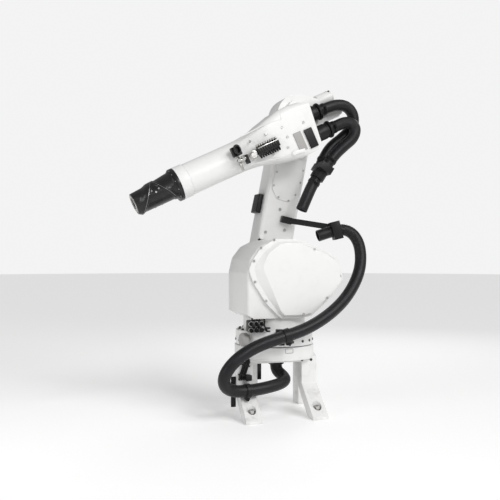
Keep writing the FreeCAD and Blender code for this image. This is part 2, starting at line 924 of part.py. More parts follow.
def make_hoses():
    make_hose("main_hose_upper", UPPER_HOSE)
    make_hose("main_hose_lower", LOWER_HOSE)
    make_hose("elbow_hose_one", HOSE_ONE)
    make_hose("elbow_hose_two", HOSE_TWO)
    make_hose("drop_hose", DROP_HOSE)


def make_all():
    make_base_casting()
    make_base_fittings()
    make_turntable()
    make_shoulder_housing()
    make_side_cover()
    make_turret_fittings()
    make_lower_arm()
    make_arm_fittings()
    make_elbow_housing()
    make_forearm()
    make_rear_fittings()
    make_side_fittings()
    make_wrist()
    make_hose_coupling()
    doc.recompute()
    arm_bracket()
    make_hoses()


def check_and_write():
    doc.recompute()
    for thing in doc.Objects:
        if "Invalid" in thing.State or "Error" in thing.State:
            raise RuntimeError(f"{thing.Label} failed: {thing.State}")
    os.makedirs("parts", exist_ok=True)
    broken = [t.Label for t in PARTS if t.Shape.isNull() or not t.Shape.isValid() or not t.Shape.Solids]
    if broken:
        raise RuntimeError(f"no valid solid: {broken}")
    for thing in PARTS:
        shape = thing.Shape
        shape.exportStep(f"parts/{thing.Label}.step")
    print(len(PARTS), "sub-parts")


make_all()
check_and_write()
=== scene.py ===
"""Visual model of a floor-mounted six-axis painting robot with a hollow wrist and process hoses.

Metres. X points forward along the arm, Y to the robot's left, Z up.
"""

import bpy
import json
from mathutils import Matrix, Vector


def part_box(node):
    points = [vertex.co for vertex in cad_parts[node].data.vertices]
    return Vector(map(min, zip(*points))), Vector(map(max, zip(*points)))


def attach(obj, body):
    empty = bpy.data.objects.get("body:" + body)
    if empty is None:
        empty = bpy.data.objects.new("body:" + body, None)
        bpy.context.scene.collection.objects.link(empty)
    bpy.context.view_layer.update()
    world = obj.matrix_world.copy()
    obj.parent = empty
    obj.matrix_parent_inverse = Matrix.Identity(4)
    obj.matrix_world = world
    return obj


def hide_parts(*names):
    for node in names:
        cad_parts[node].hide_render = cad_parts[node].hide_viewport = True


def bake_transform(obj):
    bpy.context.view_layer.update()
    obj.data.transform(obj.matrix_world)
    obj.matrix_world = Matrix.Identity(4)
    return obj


bl_info = {
    "name": "Painting Robot Arm",
    "version": (1, 0, 0),
    "blender": (4, 5, 0),
    "location": "View3D > Sidebar > Robot",
    "description": "Builds the visual model of a painting robot around its packed frame",
    "category": "Add Mesh",
}

import json
import math

import bmesh
import bpy
from bpy.props import FloatProperty, FloatVectorProperty, IntProperty, PointerProperty
from mathutils import Matrix, Vector
from mathutils.bvhtree import BVHTree

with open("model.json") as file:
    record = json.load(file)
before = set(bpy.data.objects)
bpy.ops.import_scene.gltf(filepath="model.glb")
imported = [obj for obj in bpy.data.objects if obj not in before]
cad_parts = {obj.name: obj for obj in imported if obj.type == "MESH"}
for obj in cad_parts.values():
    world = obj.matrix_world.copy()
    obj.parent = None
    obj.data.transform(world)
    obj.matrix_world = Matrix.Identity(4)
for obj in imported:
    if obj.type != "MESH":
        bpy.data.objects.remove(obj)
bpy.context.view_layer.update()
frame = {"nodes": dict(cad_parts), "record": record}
NODES = frame["nodes"]
JOINTS = {joint["name"]: joint for joint in frame["record"]["behaviour"]["joints"]}
SLOTS = {part["node"]: part["material_slot"] for part in frame["record"]["subparts"]}
BODY_OF = {node: body for body, nodes in frame["record"]["behaviour"]["bodies"].items() for node in nodes}

LEFT = Vector((0, 1, 0))
UP = Vector((0, 0, 1))
FORE_PITCH = math.radians(25.1)
TUBE_DROP = 0.084
SEAM_TILT = math.radians(35)


def joint_place(name):
    """A joint's place, on the robot's middle plane."""
    place = JOINTS[name]["pos_m"]
    return Vector((place[0], 0, place[2]))


FORE = Matrix.Translation(joint_place("elbow_swing")) @ Matrix.Rotation(FORE_PITCH, 4, "Y")
TUBE = FORE @ Matrix.Translation((0, 0, -TUBE_DROP))
BASE = Matrix.Identity(4)

# ------------------------------------------------------------ settings


class PaintSettings(bpy.types.PropertyGroup):
    white: FloatVectorProperty(
        name="White paint",
        description="Colour of the castings",
        subtype="COLOR",
        size=3,
        min=0,
        max=1,
        default=(0.80, 0.80, 0.79),
    )
    panel_grey: FloatVectorProperty(
        name="Grey paint",
        description="Colour of the access panel and the drive's cap",
        subtype="COLOR",
        size=3,
        min=0,
        max=1,
        default=(0.36, 0.35, 0.34),
    )
    black: FloatVectorProperty(
        name="Black",
        description="Colour of the wrist and the moulded parts",
        subtype="COLOR",
        size=3,
        min=0,
        max=1,
        default=(0.006, 0.006, 0.007),
    )
    edge_radius: FloatProperty(
        name="Cast edge",
        description="Largest rounding of a casting's edges",
        subtype="DISTANCE",
        unit="LENGTH",
        default=0.007,
        min=0.001,
        max=0.02,
    )


class HoseSettings(bpy.types.PropertyGroup):
    diameter: FloatProperty(
        name="Hose diameter",
        description="Outside diameter of the process hoses",
        subtype="DISTANCE",
        unit="LENGTH",
        default=0.078,
        min=0.02,
        max=0.12,
    )
    colour: FloatVectorProperty(
        name="Hose colour",
        description="Colour of the hose sleeves",
        subtype="COLOR",
        size=3,
        min=0,
        max=1,
        default=(0.006, 0.006, 0.008),
    )


class FastenerSettings(bpy.types.PropertyGroup):
    cover_screw: FloatProperty(
        name="Cover screw",
        description="Radius of the screw heads on the covers",
        subtype="DISTANCE",
        unit="LENGTH",
        default=0.0085,
        min=0.002,
        max=0.02,
    )
    ring_bolts: IntProperty(
        name="Ring bolts",
        description="Number of bolts round the turning ring",
        default=20,
        min=6,
        max=48,
    )


class StageSettings(bpy.types.PropertyGroup):
    floor: FloatVectorProperty(
        name="Floor",
        description="Colour of the floor and backdrop",
        subtype="COLOR",
        size=3,
        min=0,
        max=1,
        default=(0.93, 0.93, 0.93),
    )
    sun_strength: FloatProperty(
        name="Window light",
        description="Strength of the broad light from the robot's left",
        default=1.38,
        min=0,
        max=20,
    )
    lamp_power: FloatProperty(
        name="Lamps",
        description="Power of the small soft lamps, in watts",
        default=60.0,
        min=0,
        max=5000,
    )


def settings(name):
    return getattr(bpy.context.scene, "robot_" + name)


# ----------------------------------------------------------- materials


def new_group(name, inputs, outputs):
    """A shader node group with named float or colour sockets."""
    group = bpy.data.node_groups.new(name, "ShaderNodeTree")
    for side, sockets in (("INPUT", inputs), ("OUTPUT", outputs)):
        for label, kind, value in sockets:
            socket = group.interface.new_socket(label, in_out=side, socket_type=kind)
            if value is not None:
                socket.default_value = value
    return group


def add(tree, kind, links=None, **values):
    """A node with its values set and its inputs linked, by input name or number."""
    node = tree.nodes.new(kind)
    for key, value in values.items():
        setattr(node, key, value)
    for key, value in (links or {}).items():
        if isinstance(value, bpy.types.NodeSocket):
            tree.links.new(value, node.inputs[key])
        else:
            node.inputs[key].default_value = value
    return node


def mix(tree, factor, first, second):
    node = add(tree, "ShaderNodeMix", data_type="RGBA")
    for socket, value in zip((node.inputs[0], node.inputs[6], node.inputs[7]), (factor, first, second)):
        if isinstance(value, bpy.types.NodeSocket):
            tree.links.new(value, socket)
        else:
            socket.default_value = value
    return node.outputs[2]


def surface_group():
    """Fine grain, slow colour drift and dust that gathers low down, shared by all finishes."""
    colour, number = "NodeSocketColor", "NodeSocketFloat"
    group = new_group(
        "Worked surface",
        [
            ("Colour", colour, (0.8, 0.8, 0.8, 1)),
            ("Dust colour", colour, (0.3, 0.28, 0.25, 1)),
            ("Drift", number, 0.06),
            ("Dust", number, 0.1),
            ("Grain size", number, 300.0),
            ("Roughness", number, 0.4),
            ("Roughness drift", number, 0.08),
        ],
        [("Colour", colour, None), ("Roughness", number, None), ("Height", number, None)],
    )
    source = group.nodes.new("NodeGroupInput").outputs
    place = add(group, "ShaderNodeTexCoord").outputs["Object"]
    broad = add(group, "ShaderNodeTexNoise", {"Vector": place, "Scale": 5.0, "Detail": 5.0}).outputs[0]
    fine = add(group, "ShaderNodeTexNoise", {"Vector": place, "Scale": source["Grain size"], "Detail": 3.0})
    patches = {"Vector": place, "Scale": 17.0, "Detail": 8.0, "Distortion": 0.6}
    smear = add(group, "ShaderNodeTexNoise", patches)
    drift = add(group, "ShaderNodeMath", {0: broad, 1: source["Drift"]}, operation="MULTIPLY").outputs[0]
    darker = mix(group, drift, source["Colour"], source["Dust colour"])
    height = add(group, "ShaderNodeSeparateXYZ", {0: place}).outputs[2]
    low = add(group, "ShaderNodeMapRange", {0: height, 1: 0.0, 2: 0.45, 3: 1.0, 4: 0.12}).outputs[0]
    spots = add(group, "ShaderNodeMapRange", {0: smear.outputs[0], 1: 0.5, 2: 0.72}).outputs[0]
    dirt = add(group, "ShaderNodeMath", {0: spots, 1: low}, operation="MULTIPLY").outputs[0]
    dirt = add(group, "ShaderNodeMath", {0: dirt, 1: source["Dust"]}, operation="MULTIPLY").outputs[0]
    shifted = add(group, "ShaderNodeMath", {0: broad, 1: 0.5}, operation="SUBTRACT").outputs[0]
    shifted = add(
        group,
        "ShaderNodeMath",
        {0: shifted, 1: source["Roughness drift"], 2: source["Roughness"]},
        operation="MULTIPLY_ADD",
    ).outputs[0]
    links = {"Colour": mix(group, dirt, darker, source["Dust colour"]), "Roughness": shifted}
    links["Height"] = fine.outputs[0]
    add(group, "NodeGroupOutput", links)
    return group


def braid_group():
    """A woven hose sleeve: two sets of fine crossing threads on the tube's own map."""
    number = "NodeSocketFloat"
    threads = [("Around", number, 26.0), ("Along", number, 260.0)]
    group = new_group("Sleeve weave", threads, [("Height", number, None)])
    source = group.nodes.new("NodeGroupInput").outputs
    place = add(group, "ShaderNodeTexCoord").outputs["UV"]
    parts = add(group, "ShaderNodeSeparateXYZ", {0: place})
    round_hose = {0: parts.outputs[1], 1: source["Around"]}
    along_hose = {0: parts.outputs[0], 1: source["Along"]}
    around = add(group, "ShaderNodeMath", round_hose, operation="MULTIPLY").outputs[0]
    along = add(group, "ShaderNodeMath", along_hose, operation="MULTIPLY").outputs[0]
    waves = []
    for kind in ("ADD", "SUBTRACT"):
        slant = add(group, "ShaderNodeMath", {0: along, 1: around}, operation=kind).outputs[0]
        turn = add(group, "ShaderNodeMath", {0: slant, 1: math.tau}, operation="MULTIPLY").outputs[0]
        waves.append(add(group, "ShaderNodeMath", {0: turn}, operation="SINE").outputs[0])
    crest = add(group, "ShaderNodeMath", {0: waves[0], 1: waves[1]}, operation="MAXIMUM").outputs[0]
    add(group, "NodeGroupOutput", {"Height": crest})
    return group


def group_of(name, maker):
    return bpy.data.node_groups.get(name) or maker()


def finish(
    name,
    colour,
    roughness,
    metallic=0.0,
    coat=0.0,
    specular=0.5,
    drift=0.06,
    dust=0.1,
    grain=300.0,
    bump=0.0003,
    dust_colour=(0.3, 0.28, 0.25),
    woven=False,
):
    """One of the robot's finishes: a Principled surface fed by the shared groups."""
    made = bpy.data.materials.get(name)
    if made:
        return made
    made = bpy.data.materials.new(name)
    made.use_nodes = True
    tree = made.node_tree
    shader = tree.nodes["Principled BSDF"]
    shader.inputs["Metallic"].default_value = metallic
    shader.inputs["Coat Weight"].default_value = coat
    shader.inputs["Coat Roughness"].default_value = 0.18
    shader.inputs["Specular IOR Level"].default_value = specular
    surface = add(tree, "ShaderNodeGroup", node_tree=group_of("Worked surface", surface_group))
    surface.inputs["Colour"].default_value = (*colour, 1)
    surface.inputs["Dust colour"].default_value = (*dust_colour, 1)
    for label, value in (("Drift", drift), ("Dust", dust), ("Grain size", grain), ("Roughness", roughness)):
        surface.inputs[label].default_value = value
    tree.links.new(surface.outputs["Colour"], shader.inputs["Base Color"])
    tree.links.new(surface.outputs["Roughness"], shader.inputs["Roughness"])
    relief = surface.outputs["Height"]
    if woven:
        weave = add(tree, "ShaderNodeGroup", node_tree=group_of("Sleeve weave", braid_group))
        relief = weave.outputs["Height"]
    bumps = add(tree, "ShaderNodeBump", {"Height": relief, "Strength": 0.6, "Distance": bump})
    tree.links.new(bumps.outputs[0], shader.inputs["Normal"])
    return made


def white_paint():
    return finish("White powder coat", settings("paint").white, 0.36, coat=0.12, drift=0.03, dust=0.35)


def grey_paint():
    return finish("Grey satin paint", settings("paint").panel_grey, 0.5, drift=0.08)


def black_gloss():
    black = settings("paint").black
    return finish("Black wrist gloss", black, 0.3, specular=0.42, drift=0.02, dust=0.0, bump=0.0001)


def black_plastic():
    black = settings("paint").black
    return finish("Black nylon", black, 0.4, specular=0.28, drift=0.02, dust=0.0, grain=520.0, bump=0.0005)


def hose_sleeve():
    colour = settings("hose").colour
    return finish("Hose sleeve", colour, 0.3, specular=0.3, drift=0.02, dust=0.0, bump=0.0004, woven=True)


def steel():
    return finish("Machined steel", (0.56, 0.55, 0.53), 0.3, metallic=1.0, drift=0.1, grain=700.0)


def dark_steel():
    return finish("Blackened screws", (0.09, 0.09, 0.09), 0.42, metallic=1.0, drift=0.1, grain=700.0)


# Light grey metal of the wrist's seam rings: the rings are real, and their light colour paints the highlight
# lines that run along the seams.
def seam_highlight_metal():
    return finish("Seam ring grey with painted highlight", (0.33, 0.33, 0.34), 0.36, metallic=0.9, drift=0.05, grain=800.0)


SLOT_FINISH = {
    "white_paint": white_paint,
    "grey_paint": grey_paint,
    "black_rubber": hose_sleeve,
    "black_plastic": black_plastic,
    "black_metal": black_gloss,
    "bare_steel": steel,
}
NODE_FINISH = {"tool_ring": steel}


def finish_of(node):
    return NODE_FINISH.get(node, SLOT_FINISH[SLOTS[node]])()


# --------------------------------------------------------- mesh helpers


def keep(bm, name, material, body=None, smooth_below=38):
    """Turns a bmesh into a shown piece that rides on a body."""
    bmesh.ops.remove_doubles(bm, verts=bm.verts, dist=1e-6)
    mesh = bpy.data.meshes.new(name)
    bm.to_mesh(mesh)
    bm.free()
    for polygon in mesh.polygons:
        polygon.use_smooth = True
    mesh.set_sharp_from_angle(angle=math.radians(smooth_below))
    piece = bpy.data.objects.new(name, mesh)
    bpy.context.scene.collection.objects.link(piece)
    mesh.materials.append(material)
    if body:
        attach(piece, body)
    return piece


def lathe(profile, steps=32, hexed=(), closed=False):
    """A mesh turned about Z from (radius, height) pairs; corners numbered in hexed become six-sided."""
    bm = bmesh.new()
    verts = [bm.verts.new((radius, 0, height)) for radius, height in profile]
    pairs = list(zip(verts, verts[1:]))
    if closed:
        pairs.append((verts[-1], verts[0]))
    edges = [bm.edges.new(pair) for pair in pairs]
    radii = [profile[k] for k in hexed]
    bmesh.ops.spin(
        bm,
        geom=verts + edges,
        cent=(0, 0, 0),
        axis=(0, 0, 1),
        dvec=(0, 0, 0),
        angle=math.tau,
        steps=steps,
        use_merge=True,
    )
    bmesh.ops.remove_doubles(bm, verts=bm.verts, dist=1e-6)
    for vert in bm.verts:
        radius = math.hypot(vert.co.x, vert.co.y)
        if any(abs(radius - r) < 1e-5 and abs(vert.co.z - z) < 1e-5 for r, z in radii):
            turn = math.atan2(vert.co.y, vert.co.x) % (math.pi / 3) - math.pi / 6
            grow = math.cos(math.pi / 6) / math.cos(turn)
            vert.co.x *= grow
            vert.co.y *= grow
    bmesh.ops.recalc_face_normals(bm, faces=bm.faces)
    mesh = bpy.data.meshes.new("pattern")
    bm.to_mesh(mesh)
    bm.free()
    return mesh


def stamp(bm, mesh, matrix):
    """Adds a copy of a pattern mesh at a place."""
    first = len(bm.verts)
    bm.from_mesh(mesh)
    bm.verts.ensure_lookup_table()
    bmesh.ops.transform(bm, matrix=matrix, verts=bm.verts[first:])


def pose(place, direction, turn=0.0):
    """A matrix whose Z points along a direction, at a place."""
    spin = Vector(direction).to_track_quat("Z", "Y").to_matrix().to_4x4()
    return Matrix.Translation(place) @ spin @ Matrix.Rotation(turn, 4, "Z")


def block(size, edge=0.002, segments=2):
    """A rounded block centred on the origin."""
    bm = bmesh.new()
    bmesh.ops.create_cube(bm, size=1, matrix=Matrix.Diagonal((*size, 1)))
    bmesh.ops.bevel(
        bm,
        geom=bm.edges[:],
        offset=edge,
        offset_type="OFFSET",
        segments=segments,
        profile=0.5,
        affect="EDGES",
        material=-1,
    )
    mesh = bpy.data.meshes.new("pattern")
    bm.to_mesh(mesh)
    bm.free()
    return mesh


def socket_screw(radius, height):
    """A cap screw's head with a hexagon socket."""
    rim = radius * 0.86
    profile = [
        (0, height * 0.35),
        (radius * 0.5, height * 0.35),
        (radius * 0.5, height),
        (rim, height),
        (radius, height * 0.75),
        (radius, -0.002),
        (0, -0.002),
    ]
    return lathe(profile, steps=24, hexed=(1, 2))


def hexagon_bolt(radius, height):
    """A hexagon head on its washer."""
    flat = radius * 0.78
    profile = [
        (0, height),
        (flat * 0.9, height),
        (flat, height * 0.9),
        (flat, height * 0.25),
        (radius, height * 0.25),
        (radius, -0.002),
        (0, -0.002),
    ]
    return lathe(profile, steps=24, hexed=(1, 2, 3))


class Seat:
    """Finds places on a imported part's surface."""

    def __init__(self, node):
        bm = bmesh.new()
        bm.from_mesh(NODES[node].data)
        self.tree = BVHTree.FromBMesh(bm)
        bm.free()

    def at(self, place, towards):
        """The place and outward direction where a line first meets the part."""
        towards = Vector(towards).normalized()
        hit, normal, _, _ = self.tree.ray_cast(Vector(place) - towards * 2, towards)
        if hit is None:
            hit, normal, _, _ = self.tree.find_nearest(Vector(place))
        return hit, normal


def screws_on(name, node, places, pattern, material, towards=(0, -1, 0)):
    """Screws seated on a part where lines through places meet it."""
    seat = Seat(node)
    bm = bmesh.new()
    for k, place in enumerate(places):
        hit, normal = seat.at(place, towards)
        stamp(bm, pattern, pose(hit, normal, 0.7 * k))
    return keep(bm, name, material, BODY_OF[node])


def cut_across(bm, matrix, axis, places):
    """Cuts a mesh by planes across one axis of a frame, so that it can bend there."""
    normal = matrix.to_3x3().col[axis]
    for place in places:
        offset = [0, 0, 0]
        offset[axis] = place
        geom = bm.verts[:] + bm.edges[:] + bm.faces[:]
        bmesh.ops.bisect_plane(bm, geom=geom, plane_co=matrix @ Vector(offset), plane_no=normal, dist=1e-6)


def smooth_step(value):
    value = min(max(value, 0.0), 1.0)
    return value * value * (3 - 2 * value)


def steps(low, high, count):
    return [low + (high - low) * k / (count - 1) for k in range(count)]


def draw_to_round(bm):
    """Draws the elbow housing's square front down to the round forearm tube."""
    cut_across(bm, TUBE, 0, steps(0.36, 0.695, 15))
    cut_across(bm, TUBE, 1, steps(-0.115, 0.115, 13))
    cut_across(bm, TUBE, 2, steps(-0.105, 0.115, 13))
    back = TUBE.inverted()
    for vert in bm.verts:
        along, side, height = back @ vert.co
        radius = math.hypot(side, height)
        if along < 0.36 or radius < 0.1043:
            continue
        pull = smooth_step((along - 0.36) / 0.33)
        scale = 1 + (0.1043 / radius - 1) * pull
        vert.co = TUBE @ Vector((along, side * scale, height * scale))


def waist(bm, seams, depth, rim=0.009, slope=0.006):
    """Narrows a wrist section between the rims that stand at its seams."""
    for frame_matrix, side in seams:
        for offset in (rim, rim + slope / 2, rim + slope):
            cut_across(bm, frame_matrix, 0, [side * offset])
    back = TUBE.inverted()
    inner = [(frame_matrix.inverted(), side) for frame_matrix, side in seams]
    for vert in bm.verts:
        along, side_way, height = back @ vert.co
        radius = math.hypot(side_way, height)
        if radius < 0.05:
            continue
        nearest = min((matrix @ vert.co).x * side for matrix, side in inner)
        scale = 1 - depth * smooth_step((nearest - rim) / slope) / radius
        vert.co = TUBE @ Vector((along, side_way * scale, height * scale))


def seam(place, tilt):
    """The frame of a wrist seam: X runs along the axis that it turns about."""
    return TUBE @ Matrix.Translation((place, 0, 0)) @ Matrix.Rotation(tilt, 4, "Y")


REAR_SEAM = seam(1.153, SEAM_TILT)
FRONT_SEAM = seam(1.283, -SEAM_TILT)
SEAM_RING = 0.1054
FLANGE_FACE = seam(1.081, 0)
SHAPING = {
    "elbow_housing": draw_to_round,
    "wrist_rear": lambda bm: waist(bm, [(REAR_SEAM, -1), (FLANGE_FACE, 1)], 0.006, rim=0.008),
    "wrist_middle": lambda bm: waist(bm, [(REAR_SEAM, 1), (FRONT_SEAM, -1)], 0.005, rim=0.010),
    "wrist_nose": lambda bm: waist(bm, [(FRONT_SEAM, 1)], 0.009, rim=0.016, slope=0.030),
}


def soften(node, width, limit=26):
    """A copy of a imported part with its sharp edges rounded, shown in its place if it kept its size."""
    source = NODES[node].data
    bm = bmesh.new()
    bm.from_mesh(source)
    bmesh.ops.remove_doubles(bm, verts=bm.verts, dist=2e-5)
    volume = bm.calc_volume()
    bmesh.ops.dissolve_limit(bm, angle_limit=math.radians(0.6), verts=bm.verts[:], edges=bm.edges[:])
    wanted = math.radians(limit)
    sharp = [e for e in bm.edges if len(e.link_faces) == 2 and e.calc_face_angle(0) > wanted]
    bmesh.ops.bevel(
        bm,
        geom=sharp,
        offset=width,
        offset_type="OFFSET",
        segments=3,
        profile=0.5,
        affect="EDGES",
        clamp_overlap=True,
        material=-1,
    )
    bmesh.ops.triangulate(bm, faces=bm.faces[:])
    if node in SHAPING:
        SHAPING[node](bm)
        bmesh.ops.triangulate(bm, faces=bm.faces[:])
    change = abs(bm.calc_volume() / volume - 1)
    low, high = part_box(node)
    outside = max(
        max(low[k] - v.co[k], v.co[k] - high[k]) for v in bm.verts for k in range(3)
    )
    if change > (0.2 if node in SHAPING else 0.04) or outside > 0.001:
        print("LEFT AS PACKED:", node, round(change, 4), round(outside, 5))
        bm.free()
        return None
    piece = keep(bm, node + "_shape", finish_of(node), BODY_OF[node], smooth_below=32)
    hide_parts(node)
    return piece


# --------------------------------------------------------------- hoses

MAIN_UPPER = [
    (-0.315, 0, 1.165),
    (-0.399, 0.010, 1.193),
    (-0.479, 0.030, 1.214),
    (-0.544, 0.050, 1.190),
    (-0.582, 0.078, 1.120),
    (-0.584, 0.108, 1.029),
    (-0.556, 0.148, 0.936),
    (-0.494, 0.196, 0.842),
    (-0.402, 0.250, 0.748),
    (-0.285, 0.302, 0.668),
    (-0.162, 0.336, 0.604),
    (-0.048, 0.352, 0.559),
    (0.054, 0.352, 0.532),
]
MAIN_LOWER = [
    (0.0543, 0.352, 0.5319),
    (0.156, 0.352, 0.505),
    (0.256, 0.350, 0.467),
    (0.346, 0.350, 0.415),
    (0.410, 0.344, 0.350),
    (0.436, 0.324, 0.284),
    (0.416, 0.296, 0.226),
    (0.352, 0.262, 0.193),
    (0.270, 0.242, 0.187),
    (0.180, 0.227, 0.191),
    (0.088, 0.202, 0.200),
    (0.010, 0.164, 0.208),
    (-0.042, 0.112, 0.222),
    (-0.042, 0.052, 0.242),
    (-0.007, 0.020, 0.274),
    (-0.007, 0.020, 0.3146),
]
ELBOW_ONE = [
    (-0.3058, 0, 2.0046),
    (-0.373, 0, 2.036),
    (-0.456, -0.006, 2.066),
    (-0.540, -0.018, 2.062),
    (-0.594, -0.030, 2.004),
    (-0.592, -0.037, 1.922),
    (-0.512, -0.044, 1.842),
    (-0.430, -0.046, 1.782),
    (-0.380, -0.044, 1.706),
    (-0.350, -0.038, 1.646),
    (-0.328, -0.020, 1.600),
    (-0.3036, 0, 1.5535),
    (-0.2695, 0, 1.5018),
    (-0.232, 0.003, 1.424),
    (-0.194, 0.005, 1.340),
]
ELBOW_TWO = [
    (-0.3641, 0.052, 1.8798),
    (-0.428, 0.052, 1.9097),
    (-0.508, 0.052, 1.945),
    (-0.572, 0.050, 1.912),
    (-0.560, 0.047, 1.838),
    (-0.490, 0.044, 1.780),
    (-0.4200, 0.040, 1.7171),
    (-0.362, 0.040, 1.642),
]


def route(points, radius=0.0):
    """A smooth NURBS line through a route, with a round section if a radius is given."""
    curve = bpy.data.curves.new("route", "CURVE")
    curve.dimensions = "3D"
    curve.bevel_depth = radius
    curve.bevel_resolution = 10
    curve.resolution_u = 10
    spline = curve.splines.new("NURBS")
    spline.points.add(len(points) - 1)
    for point, place in zip(spline.points, points):
        point.co = (*place, 1)
    spline.order_u = 3
    spline.use_endpoint_u = True
    holder = bpy.data.objects.new("route", curve)
    bpy.context.scene.collection.objects.link(holder)
    bpy.context.view_layer.update()
    mesh = bpy.data.meshes.new_from_object(holder.evaluated_get(bpy.context.evaluated_depsgraph_get()))
    bpy.data.objects.remove(holder)
    return mesh


def centreline(points):
    return [vert.co.copy() for vert in route(points).vertices]


def end_loops(bm):
    """The open rings of edges at a tube's two ends."""
    left = {edge for edge in bm.edges if edge.is_boundary}
    loops = []
    while left:
        loop = [left.pop()]
        growing = list(loop)
        while growing:
            edge = growing.pop()
            near = {e for vert in edge.verts for e in vert.link_edges} & left
            left -= near
            loop += near
            growing += near
        loops.append(loop)
    return loops


def hose(name, points, open_ends=()):
    """A hose tube along a route. An open end, 0 or -1, shows the wall and the dark inside."""
    radius = settings("hose").diameter / 2
    bm = bmesh.new()
    bm.from_mesh(route(points, radius))
    bmesh.ops.remove_doubles(bm, verts=bm.verts, dist=1e-6)
    for loop in end_loops(bm):
        verts = {vert for edge in loop for vert in edge.verts}
        middle = sum((vert.co for vert in verts), Vector()) / len(verts)
        for end, other in ((0, 1), (-1, -2)):
            if end not in open_ends or (middle - Vector(points[end])).length > 0.01:
                continue
            inwards = (Vector(points[other]) - Vector(points[end])).normalized()
            for shrink, depth in ((0.985, -0.0015), (0.86, -0.0015), (0.84, 0.001), (0.84, 0.05)):
                made = bmesh.ops.extrude_edge_only(bm, edges=loop)["geom"]
                loop = [item for item in made if isinstance(item, bmesh.types.BMEdge)]
                ring = {vert for edge in loop for vert in edge.verts}
                centre = sum((vert.co for vert in ring), Vector()) / len(ring)
                for vert in ring:
                    away = (vert.co - centre).normalized() * radius * shrink
                    vert.co = middle + away + inwards * depth
    bmesh.ops.holes_fill(bm, edges=[e for e in bm.edges if e.is_boundary], sides=0)
    bmesh.ops.recalc_face_normals(bm, faces=bm.faces)
    return keep(bm, name, hose_sleeve(), smooth_below=50)


def band(bm, places, at, width=0.024, thick=0.005, screw=LEFT):
    """A clamp band with its screw block round a hose, where its line passes nearest to a place."""
    at = Vector(at)
    number = min(range(1, len(places) - 1), key=lambda k: (places[k] - at).length)
    centre = places[number]
    line = (places[number + 1] - places[number - 1]).normalized()
    inner = settings("hose").diameter / 2 - 0.0005
    outer = inner + thick
    half = width / 2
    edge = 0.0015
    profile = [
        (inner, -half),
        (outer - edge, -half),
        (outer, -half + edge),
        (outer, half - edge),
        (outer - edge, half),
        (inner, half),
    ]
    stamp(bm, lathe(profile, steps=48, closed=True), pose(centre, line))
    side = (screw - line * screw.dot(line)).normalized()
    across = line.cross(side)
    turn = Matrix((across, side, line)).transposed().to_4x4()
    stamp(bm, block((0.030, 0.014, width * 0.8)), Matrix.Translation(centre + side * (outer + 0.004)) @ turn)
    barrel = lathe([(0, -0.018), (0.006, -0.018), (0.006, 0.018), (0, 0.018)], steps=16)
    stamp(bm, barrel, pose(centre + side * (outer + 0.011), across))
    return centre, line


class BuildHoses(bpy.types.Operator):
    """Adds the process hoses and their clamp bands"""

    bl_idname = "robot.hoses"
    bl_label = "Process hoses"

    def execute(self, context):
        size = settings("hose").diameter
        upper = hose("main_hose_upper_tube", MAIN_UPPER, open_ends=(0,))
        lower = hose("main_hose_lower_tube", MAIN_LOWER)
        upper_line, lower_line = centreline(MAIN_UPPER), centreline(MAIN_LOWER)
        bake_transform(upper)
        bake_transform(lower)
        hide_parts("main_hose_upper")
        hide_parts("main_hose_lower")
        one = hose("elbow_hose_one_tube", ELBOW_ONE, open_ends=(-1,))
        two = hose("elbow_hose_two_tube", ELBOW_TWO)
        for piece, nodes in ((one, ("elbow_hose_one", "drop_hose")), (two, ("elbow_hose_two",))):
            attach(piece, "forearm")
            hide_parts(*nodes)
        centreline(ELBOW_ONE)
        centreline(ELBOW_TWO)
        bm = bmesh.new()
        band(bm, centreline(MAIN_UPPER), (0.04, 0.352, 0.535), width=0.04, thick=0.008, screw=-UP)
        keep(bm, "turret_hose_band", black_plastic(), "turret")
        bm = bmesh.new()
        band(bm, lower_line, (0.262, 0.24, 0.187), width=0.032, thick=0.007, screw=-UP)
        keep(bm, "leg_hose_band", black_plastic(), "base")
        bm = bmesh.new()
        for line, at in (
            (centreline(ELBOW_ONE), (-0.385, -0.04, 1.677)),
            (centreline(ELBOW_ONE), (-0.285, 0, 1.525)),
            (centreline(ELBOW_TWO), (-0.385, 0.04, 1.677)),
            (centreline(ELBOW_ONE), (-0.352, 0, 2.026)),
            (centreline(ELBOW_TWO), (-0.41, 0.052, 1.901)),
        ):
            band(bm, line, at, width=0.02, thick=0.004)
        keep(bm, "elbow_hose_bands", black_plastic(), "forearm")
        return {"FINISHED"}


# ---------------------------------------------------------------- parts

SOFT_EDGES = {
    "base_casting": 0.9,
    "turntable": 0.4,
    "shoulder_housing": 1.0,
    "side_cover": 0.5,
    "lower_arm": 1.0,
    "arm_side_cover": 0.2,
    "arm_front_box": 0.3,
    "elbow_housing": 1.0,
    "tube_collar": 0.2,
    "wrist_rear": 0.4,
    "wrist_middle": 0.35,
    "wrist_nose": 0.45,
    "tool_ring": 0.12,
    "upper_hose_gland": 0.3,
    "lower_hose_gland": 0.3,
    "wrist_motor_lower": 0.3,
    "wrist_motor_upper": 0.3,
    "hose_coupling": 0.5,
    "hose_bracket": 0.25,
    "bracket_ring": 0.4,
    "leg_hose_clamp": 0.3,
    "turret_hose_clamp": 0.3,
    "hanging_strap": 0.2,
    "strip_bracket": 0.2,
    "drive_block": 0.4,
    "drive_cap": 0.4,
    "grey_panel": 0.12,
    "black_panel": 0.2,
}


class DressFrame(bpy.types.Operator):
    """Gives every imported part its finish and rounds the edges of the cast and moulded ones"""

    bl_idname = "robot.dress_frame"
    bl_label = "Castings and covers"

    def execute(self, context):
        for node, piece in NODES.items():
            for place in piece.material_slots:
                place.material = finish_of(node)
        widest = settings("paint").edge_radius
        for node, share in SOFT_EDGES.items():
            soften(node, widest * share)
        return {"FINISHED"}


